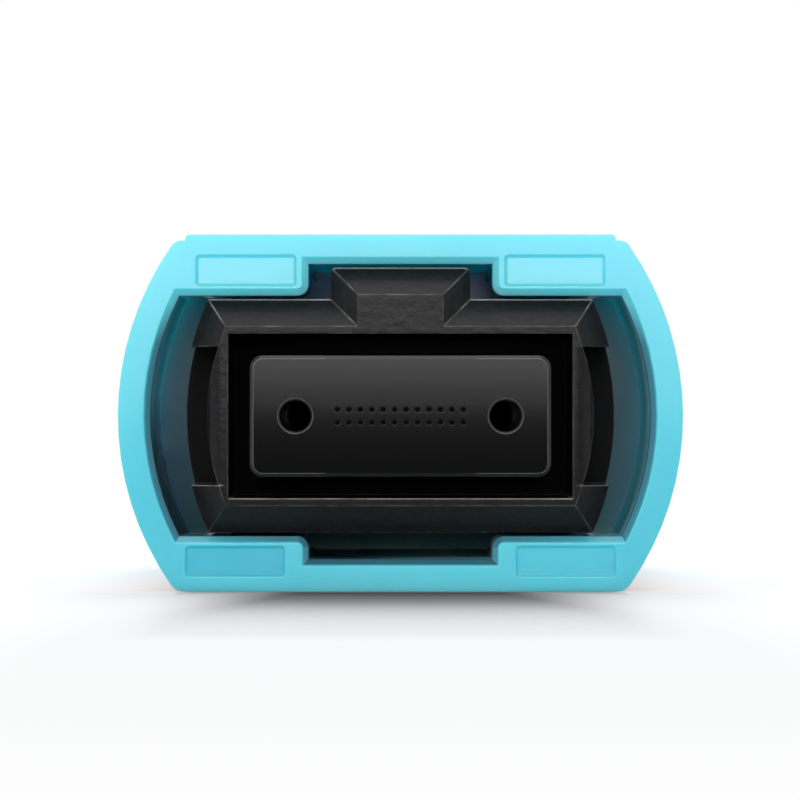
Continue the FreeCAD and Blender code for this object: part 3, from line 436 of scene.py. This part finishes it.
def black_plastic(name, relief_mm, gloss_low, gloss_high, specular, dull=False):
    """Black moulding: leathery eroded grain, a few bright specks, painted highlights on its edges
    and painted shade in narrow places.

    With dull, the surfaces behind its mouth stay matte and are darkened with painted shade.
    """
    graph = Graph(name)
    drift = graph.noise(0.5, detail=3)
    body = graph.blend(graph.ramp(drift, 0, 1, 0.3, 0.7), BLACK, BLACK_SHADE)
    mottle = graph.ramp(graph.noise(5.0, detail=3), 0, 0.4, 0.35, 0.7)
    body = graph.blend(mottle, body, BLACK_PALE)
    # Painted highlight on the edges, broken up by noise and strongest where they face up.
    edge_highlight_share = graph.ramp(graph.noise(2.2, detail=4), 0, 1, 0.42, 0.62)
    edge_highlight_share = graph.math("ADD", graph.math("MULTIPLY", edge_highlight_share, 0.7), 0.3)
    edge_highlight_share = graph.math("MULTIPLY", edge_highlight_share, graph.ramp(graph.upward(0.055), 0.14, 1, 0.3, 0.85))
    painted_edge_highlight = graph.math("MULTIPLY", graph.edges(0.055, 0.95, 0.94), edge_highlight_share)
    body = graph.blend(painted_edge_highlight, body, EDGE_HIGHLIGHT_GREY)
    # A brighter painted highlight on the edges that face up.
    looking_up = graph.ramp(graph.upward(0.08), 0, 1, 0.74, 0.88)
    top_edge_highlight = graph.math("MULTIPLY", graph.edges(0.08, 1, 0.96), looking_up)
    body = graph.blend(top_edge_highlight, body, EDGE_HIGHLIGHT_PALE)
    dust = graph.ramp(graph.noise(7.0, detail=3, roughness=0.7), 0, 0.5, 0.68, 0.78)
    body = graph.blend(dust, body, DUST_GREY)
    # Painted shade: darker in narrow places.
    body = graph.blend(graph.shelter(2.5, 0.1, 0.6), body, BLACK_PAINTED_SHADE)
    gloss = graph.ramp(drift, gloss_low, gloss_high, 0.3, 0.7)
    if dull:
        # Behind the mouth: rougher, and darker with painted shade.
        axis = graph.along_axis()
        past_mouth = graph.ramp(axis, 0, 1, MOUTH_START, MOUTH_END)
        before_back = graph.ramp(axis, 1, 0, BACK_START, BACK_END)
        recess_matte_and_shade = graph.math("MINIMUM", past_mouth, before_back)
        body = graph.blend(graph.math("MULTIPLY", recess_matte_and_shade, 0.5), body, BLACK_PAINTED_SHADE)
        gloss = graph.math("MAXIMUM", gloss, graph.math("MULTIPLY", recess_matte_and_shade, 0.75))
    leather = graph.noise(4.5, detail=4, roughness=0.6)
    relief = graph.bump(leather, relief_mm, graph.rounded(0.07))
    relief = graph.bump(graph.noise(22, detail=3), relief_mm * 0.15, relief)
    return graph.finish(body, gloss, relief, Specular_IOR_Level=specular)


def ferrule_resin():
    """Filled resin: the end face is lapped to a dull polish, holes and sides stay as moulded."""
    graph = Graph("ferrule_resin")
    filler = graph.noise(30, detail=2)
    body = graph.blend(graph.ramp(filler, 0, 1, 0.35, 0.65), RESIN, RESIN_SHADE)
    # Painted highlight on the edges, kept off the fibre field.
    clear_of_fibres = graph.ramp(graph.off_middle(), 0, 1, FIBRE_HALF_WIDTH, FIBRE_HALF_WIDTH + 0.1)
    rim_highlight = graph.math("MULTIPLY", graph.edges(0.03, 0.85), clear_of_fibres)
    body = graph.blend(rim_highlight, body, RESIN_EDGE_HIGHLIGHT)
    depth = graph.ramp(graph.along_axis(), 0, 1, 0.03, 0.12)
    body = graph.blend(depth, body, RESIN_SHADE)
    gloss = graph.ramp(depth, 0.13, 0.62, 0, 1)
    lapping = graph.noise(6, detail=4, stretch=(1.0, 1.0, 9.0))
    relief = graph.bump(lapping, 0.00025, graph.rounded(0.02))
    return graph.finish(body, gloss, relief, Specular_IOR_Level=0.34)


def fibre_ribbon():
    """Bare glass at the front, which looks black end on, and a tinted coating behind."""
    graph = Graph("fibre_ribbon")
    streak = graph.noise(4, detail=3, stretch=(1.0, 0.1, 1.0))
    coat = graph.blend(streak, srgb(150, 200, 205), srgb(120, 176, 184))
    bare = graph.ramp(graph.along_axis(), 1, 0, FIBRE_BARE_END - 0.1, FIBRE_BARE_END)
    body = graph.blend(bare, coat, srgb(3, 3, 4))
    gloss = graph.ramp(streak, 0.3, 0.5, 0.3, 0.7)
    return graph.finish(body, gloss, graph.bump(streak, 0.004), Specular_IOR_Level=0.02)


def soft_rubber():
    """Moulded rubber with a chalky bloom."""
    graph = Graph("soft_rubber")
    bloom = graph.noise(1.6, detail=4)
    body = graph.blend(graph.ramp(bloom, 0, 1, 0.3, 0.7), srgb(38, 38, 38), srgb(29, 29, 29))
    gloss = graph.ramp(bloom, 0.62, 0.78, 0.3, 0.7)
    relief = graph.bump(graph.noise(16, detail=3), 0.008)
    return graph.finish(body, gloss, relief, Specular_IOR_Level=0.25)


def drawn_wire():
    """Spring steel with fine marks from drawing."""
    graph = Graph("spring_wire")
    marks = graph.noise(14.0, detail=3)
    tone = graph.blend(marks, srgb(168, 168, 172), srgb(120, 120, 126))
    gloss = graph.ramp(marks, 0.22, 0.38, 0.3, 0.7)
    return graph.finish(tone, gloss, graph.bump(marks, 0.004), Metallic=1.0)


def nickel_plate():
    """Turned brass with satin nickel plating: rings from the lathe and a faint warm tone."""
    graph = Graph("nickel_plate")
    rings = graph.noise(1.0, detail=4, stretch=(0.05, 30.0, 0.05))
    cloud = graph.noise(0.9, detail=4)
    tone = graph.blend(graph.ramp(cloud, 0, 1, 0.3, 0.7), srgb(196, 191, 181), srgb(170, 165, 156))
    # Painted highlight: paler on the edges.
    tone = graph.blend(graph.edges(0.06, 0.6), tone, srgb(226, 223, 216))
    # Painted shade: darker in narrow places.
    tone = graph.blend(graph.shelter(2.0, 0.2, 0.7), tone, srgb(122, 117, 108))
    gloss = graph.ramp(rings, 0.22, 0.36, 0.3, 0.7)
    return graph.finish(tone, gloss, graph.bump(rings, 0.004, graph.rounded(0.05)), Metallic=1.0)


finishes = {
    "sleeve": aqua_plastic(),
    "housing": black_plastic("black_plastic", 0.010, 0.2, 0.27, 0.14, dull=True),
    "rear_body": black_plastic("rear_black_plastic", 0.015, 0.34, 0.44, 0.25),
    "keeper": black_plastic("keeper_plastic", 0.01, 0.42, 0.52, 0.2),
    "ferrule": ferrule_resin(),
    "ribbon": fibre_ribbon(),
    "boot": soft_rubber(),
    "spring": drawn_wire(),
    "crimp_ring": nickel_plate(),
}

slots = {part["node"]: part["material_slot"] for part in frame["record"]["subparts"]}

for name, node in frame["nodes"].items():
    node.data.materials.clear()
    node.data.materials.append(finishes[slots[name]])


# ---------------------------------------------------------------- springs


def racetrack(turn, half_width, half_height):
    """Where a racetrack's line is after a share of a turn, and its outward direction."""
    straight = 2 * (half_width - half_height)
    arc = math.pi * half_height
    along = (turn % 1) * 2 * (straight + arc)
    side = 1
    if along >= straight + arc:
        along -= straight + arc
        side = -1
    if along < straight:
        place, outward = Vector((straight / 2 - along, 0, half_height)), Vector((0, 0, 1))
    else:
        angle = math.pi / 2 + (along - straight) / half_height
        outward = Vector((math.cos(angle), 0, math.sin(angle)))
        place = Vector((-straight / 2, 0, 0)) + half_height * outward
    return side * place, side * outward


def coil_spring(name, node, wire, turns):
    """A wound spring with closed ends in its CAD solid's place."""
    low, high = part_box(node)
    middle = (low + high) / 2
    reach = (high - low) / 2
    half_width, half_height = reach.x - wire / 2, reach.z - wire / 2
    first, last = low.y + wire / 2, high.y - wire / 2
    closed = wire * CLOSED_PITCH
    rise = (last - first - 2 * closed) / (turns - 2)

    def depth(turn):
        if turn < 1:
            return first + closed * turn
        if turn > turns - 1:
            return last - closed * (turns - turn)
        return first + closed + rise * (turn - 1)

    def centre(turn):
        place, outward = racetrack(turn, half_width, half_height)
        return Vector((middle.x, depth(turn), middle.z)) + place, outward

    mesh = bmesh.new()
    rings = []
    steps = int(round(turns * COIL_STEPS))
    for step in range(steps + 1):
        turn = step / COIL_STEPS
        place, outward = centre(turn)
        heading = centre(min(turn + COIL_PEEK, turns))[0] - centre(max(turn - COIL_PEEK, 0))[0]
        across = heading.normalized().cross(outward).normalized()
        ring = []
        for corner in range(WIRE_SIDES):
            angle = 2 * math.pi * corner / WIRE_SIDES
            offset = math.cos(angle) * outward + math.sin(angle) * across
            ring.append(mesh.verts.new(place + wire / 2 * offset))
        rings.append(ring)
    for before, after in zip(rings, rings[1:]):
        for corner in range(WIRE_SIDES):
            following = (corner + 1) % WIRE_SIDES
            mesh.faces.new((before[corner], before[following], after[following], after[corner]))
    mesh.faces.new(rings[0])
    mesh.faces.new(rings[-1])
    bmesh.ops.recalc_face_normals(mesh, faces=mesh.faces)
    for face in mesh.faces:
        face.smooth = len(face.verts) == 4
    data = bpy.data.meshes.new(name)
    mesh.to_mesh(data)
    mesh.free()
    data.materials.append(finishes["spring"])
    spring = bpy.data.objects.new(name, data)
    bpy.context.collection.objects.link(spring)
    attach(spring, "housing")
    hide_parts(node)
    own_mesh(spring)


for name, node, wire, turns, joint in (
    ("wound_ferrule_spring", "ferrule_spring", FERRULE_WIRE, FERRULE_TURNS, "ferrule_slide"),
    ("wound_spring_left", "coupling_spring_left", SLEEVE_WIRE, SLEEVE_TURNS, "sleeve_slide"),
    ("wound_spring_right", "coupling_spring_right", SLEEVE_WIRE, SLEEVE_TURNS, "sleeve_slide"),
):
    coil_spring(name, node, wire, turns)


# ---------------------------------------------------------------- studio


def floor_painted_shadow(graph):
    """A painted shadow for the floor, from its openness to the sky, and where it is clear of the
    foot.

    The painted shadow is deepest before the connector, where the front lamp is also kept off the
    floor, and fades beside it, behind it and further off.
    """
    openness = graph.add("ShaderNodeAmbientOcclusion", samples=40)
    openness.inputs["Distance"].default_value = SHADOW_REACH
    steep = graph.math("POWER", openness.outputs["AO"], SHADOW_POWER)
    deep = graph.ramp(steep, SHADOW_LEAST, 1, 0, 1)
    contact = graph.ramp(openness.outputs["AO"], CONTACT_LEAST, 1, CONTACT_INNER, CONTACT_OUTER)
    deep = graph.math("MULTIPLY", deep, contact)
    behind = graph.ramp(graph.along_axis(), 0, 1, SHADOW_FRONT, SHADOW_BACK)
    aside = graph.ramp(graph.off_middle(), 0, 1, SHADOW_INNER, SHADOW_OUTER, smooth=True)
    before = graph.ramp(graph.along_axis(), 1, 0, SHADOW_END, SHADOW_FADE, smooth=True)
    around = graph.math("MAXIMUM", before, graph.math("MAXIMUM", behind, aside))
    share = graph.math("MAXIMUM", deep, around)
    edge = graph.ramp(openness.outputs["AO"], EDGE_LEAST, 1, EDGE_INNER, EDGE_OUTER)
    off_foot = graph.ramp(graph.off_middle(), 0, 1, FOOT_INNER, FOOT_OUTER)
    clear = graph.math("MAXIMUM", edge, graph.math("MAXIMUM", behind, off_foot))
    return graph.math("MINIMUM", share, clear), off_foot


def floor_warmth(graph, off_foot):
    """A glow beside the sleeve, which takes back the tint that the sleeve throws there."""
    beside = graph.ramp(graph.off_middle(), WARM_LIFT, 0, WARM_INNER, WARM_OUTER)
    rise = graph.ramp(graph.along_axis(), 0, 1, WARM_FRONT, WARM_NEAR)
    fall = graph.ramp(graph.along_axis(), 1, 0, WARM_FADE, WARM_END)
    beside = graph.math("MULTIPLY", graph.math("MULTIPLY", beside, rise), fall)
    return graph.math("MULTIPLY", beside, off_foot)


def floor():
    """A pale floor that holds the object's shadow, deepened with a painted shadow and lifted with a
    painted glow near the connector, and is plain white further off.
    """
    bpy.ops.mesh.primitive_plane_add(size=FLOOR_SIZE, location=(0, 0, cad_low.z))
    plane = bpy.context.object
    plane.name = "floor"
    graph = Graph("pale_floor")
    tree = graph.tree
    out = tree.nodes["Material Output"]
    tree.nodes.remove(graph.shader)

    share, off_foot = floor_painted_shadow(graph)
    near = graph.add("ShaderNodeBsdfDiffuse")
    graph.link(graph.math("MULTIPLY", share, FLOOR_WHITE), near.inputs["Color"])
    # A painted glow lifts the floor, more behind and beside the connector.
    lift = graph.add("ShaderNodeEmission")
    further = graph.math(
        "MAXIMUM",
        graph.ramp(graph.along_axis(), 0, BACK_LIFT, BACK_LIFT_START, BACK_LIFT_END),
        graph.ramp(graph.off_middle(), 0, SIDE_LIFT, SIDE_LIFT_START, SIDE_LIFT_END),
    )
    glow = graph.math("ADD", graph.math("MULTIPLY", share, FLOOR_LIFT), further)
    graph.link(glow, lift.inputs["Strength"])
    lifted = graph.add("ShaderNodeAddShader")
    graph.link(near.outputs[0], lifted.inputs[0])
    graph.link(lift.outputs[0], lifted.inputs[1])
    warm = graph.add("ShaderNodeEmission")
    warm.inputs["Color"].default_value = WARM_COLOUR
    graph.link(floor_warmth(graph, off_foot), warm.inputs["Strength"])
    shown = graph.add("ShaderNodeAddShader")
    graph.link(lifted.outputs[0], shown.inputs[0])
    graph.link(warm.outputs[0], shown.inputs[1])
    plain = graph.add("ShaderNodeBsdfDiffuse")
    plain.inputs["Color"].default_value = (FLOOR_WHITE, FLOOR_WHITE, FLOOR_WHITE, 1)

    path = graph.add("ShaderNodeLightPath")
    glossy, through = path.outputs["Is Glossy Ray"], path.outputs["Is Transmission Ray"]
    mirrored = graph.math("MAXIMUM", glossy, through)
    seen = graph.math("MAXIMUM", path.outputs["Is Camera Ray"], mirrored)
    reach = graph.add("ShaderNodeVectorMath", operation="LENGTH")
    graph.link(graph.place, reach.inputs[0])
    far_share = graph.ramp(reach.outputs["Value"], 0, 1, FLOOR_NEAR, FLOOR_FAR)
    far = graph.add("ShaderNodeEmission")
    kept = graph.mix_shader(path.outputs["Is Camera Ray"], plain.outputs[0], shown.outputs[0])
    last = graph.mix_shader(graph.math("MULTIPLY", far_share, seen), kept, far.outputs[0])
    graph.link(last, out.inputs["Surface"])
    plane.data.materials.append(graph.material)


def world():
    """White to the camera and in reflections, softer as a light."""
    sky = bpy.data.worlds.new("studio")
    bpy.context.scene.world = sky
    sky.use_nodes = True
    tree = sky.node_tree
    tree.nodes.clear()
    out = tree.nodes.new("ShaderNodeOutputWorld")
    shown = tree.nodes.new("ShaderNodeBackground")
    lighting = tree.nodes.new("ShaderNodeBackground")
    lighting.inputs["Color"].default_value = SKY_COLOUR
    lighting.inputs["Strength"].default_value = SKY_STRENGTH
    mix = tree.nodes.new("ShaderNodeMixShader")
    path = tree.nodes.new("ShaderNodeLightPath")
    either = tree.nodes.new("ShaderNodeMath")
    either.operation = "MAXIMUM"
    any_of = tree.nodes.new("ShaderNodeMath")
    any_of.operation = "MAXIMUM"
    link = tree.links.new
    link(path.outputs["Is Camera Ray"], either.inputs[0])
    link(path.outputs["Is Glossy Ray"], either.inputs[1])
    link(either.outputs[0], any_of.inputs[0])
    link(path.outputs["Is Transmission Ray"], any_of.inputs[1])
    link(any_of.outputs[0], mix.inputs["Fac"])
    link(lighting.outputs[0], mix.inputs[1])
    link(shown.outputs[0], mix.inputs[2])
    link(mix.outputs[0], out.inputs["Surface"])
    shown.inputs["Color"].default_value = (1, 1, 1, 1)


def softbox(name, location, target, width, height, radiance):
    """A soft rectangular lamp. radiance is what its face would show as, 1 being white."""
    lamp = bpy.data.lights.new(name, "AREA")
    lamp.shape = "RECTANGLE"
    lamp.size = width
    lamp.size_y = height
    lamp.energy = radiance * math.pi * width * height
    holder = bpy.data.objects.new(name, lamp)
    bpy.context.collection.objects.link(holder)
    holder.location = location
    aim = Vector(target) - Vector(location)
    holder.rotation_euler = aim.to_track_quat("-Z", "Y").to_euler()
    holder.visible_camera = False
    return holder


def black_flag(middle, width, height):
    """A low upright black card before the connector, seen only in reflections."""
    bpy.ops.mesh.primitive_plane_add(size=1, location=middle, rotation=(math.radians(90), 0, 0))
    card = bpy.context.object
    card.name = "black_flag"
    card.scale = (width, height, 1)
    for ray in ("camera", "diffuse", "transmission", "shadow"):
        setattr(card, "visible_" + ray, False)
    material = bpy.data.materials.new("black_card")
    material.use_nodes = True
    shader = material.node_tree.nodes["Principled BSDF"]
    shader.inputs["Base Color"].default_value = (0.003, 0.003, 0.003, 1)
    shader.inputs["Specular IOR Level"].default_value = 0.0
    shader.inputs["Roughness"].default_value = 1.0
    card.data.materials.append(material)


def spare_the_floor(lamp):
    """Keeps a lamp off the floor, so that it doesn't wash out the shadow before the connector."""
    lit = bpy.data.collections.new("lit_by_" + lamp.name)
    for node in frame["nodes"].values():
        lit.objects.link(node)
    lamp.light_linking.receiver_collection = lit


def camera():
    """Square on to the ferrule, with the connector a little below the picture's middle."""
    lens = bpy.data.cameras.new("camera")
    lens.sensor_width = SENSOR
    sleeve_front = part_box("coupling_sleeve")[0].y
    lens.lens = SENSOR * CAMERA_DISTANCE / VIEW_WIDTH
    lens.clip_start = 1 * MM
    lens.clip_end = 10
    holder = bpy.data.objects.new("camera", lens)
    bpy.context.collection.objects.link(holder)
    holder.location = (CAMERA_SIDE, sleeve_front - CAMERA_DISTANCE, CAMERA_HEIGHT)
    holder.rotation_euler = (math.radians(90), 0, 0)
    bpy.context.scene.camera = holder


floor()
world()
front_place = (FRONT_SIDE, FRONT_DISTANCE, FRONT_HEIGHT)
front = softbox("front", front_place, (FRONT_SIDE, 0, FRONT_HEIGHT), *FRONT_SIZE, FRONT_RADIANCE)
spare_the_floor(front)
black_flag(FLAG_PLACE, *FLAG_SIZE)
softbox("top", TOP_PLACE, TOP_TARGET, *TOP_SIZE, TOP_RADIANCE)
camera()

scene = bpy.context.scene
scene.view_settings.view_transform = "Standard"
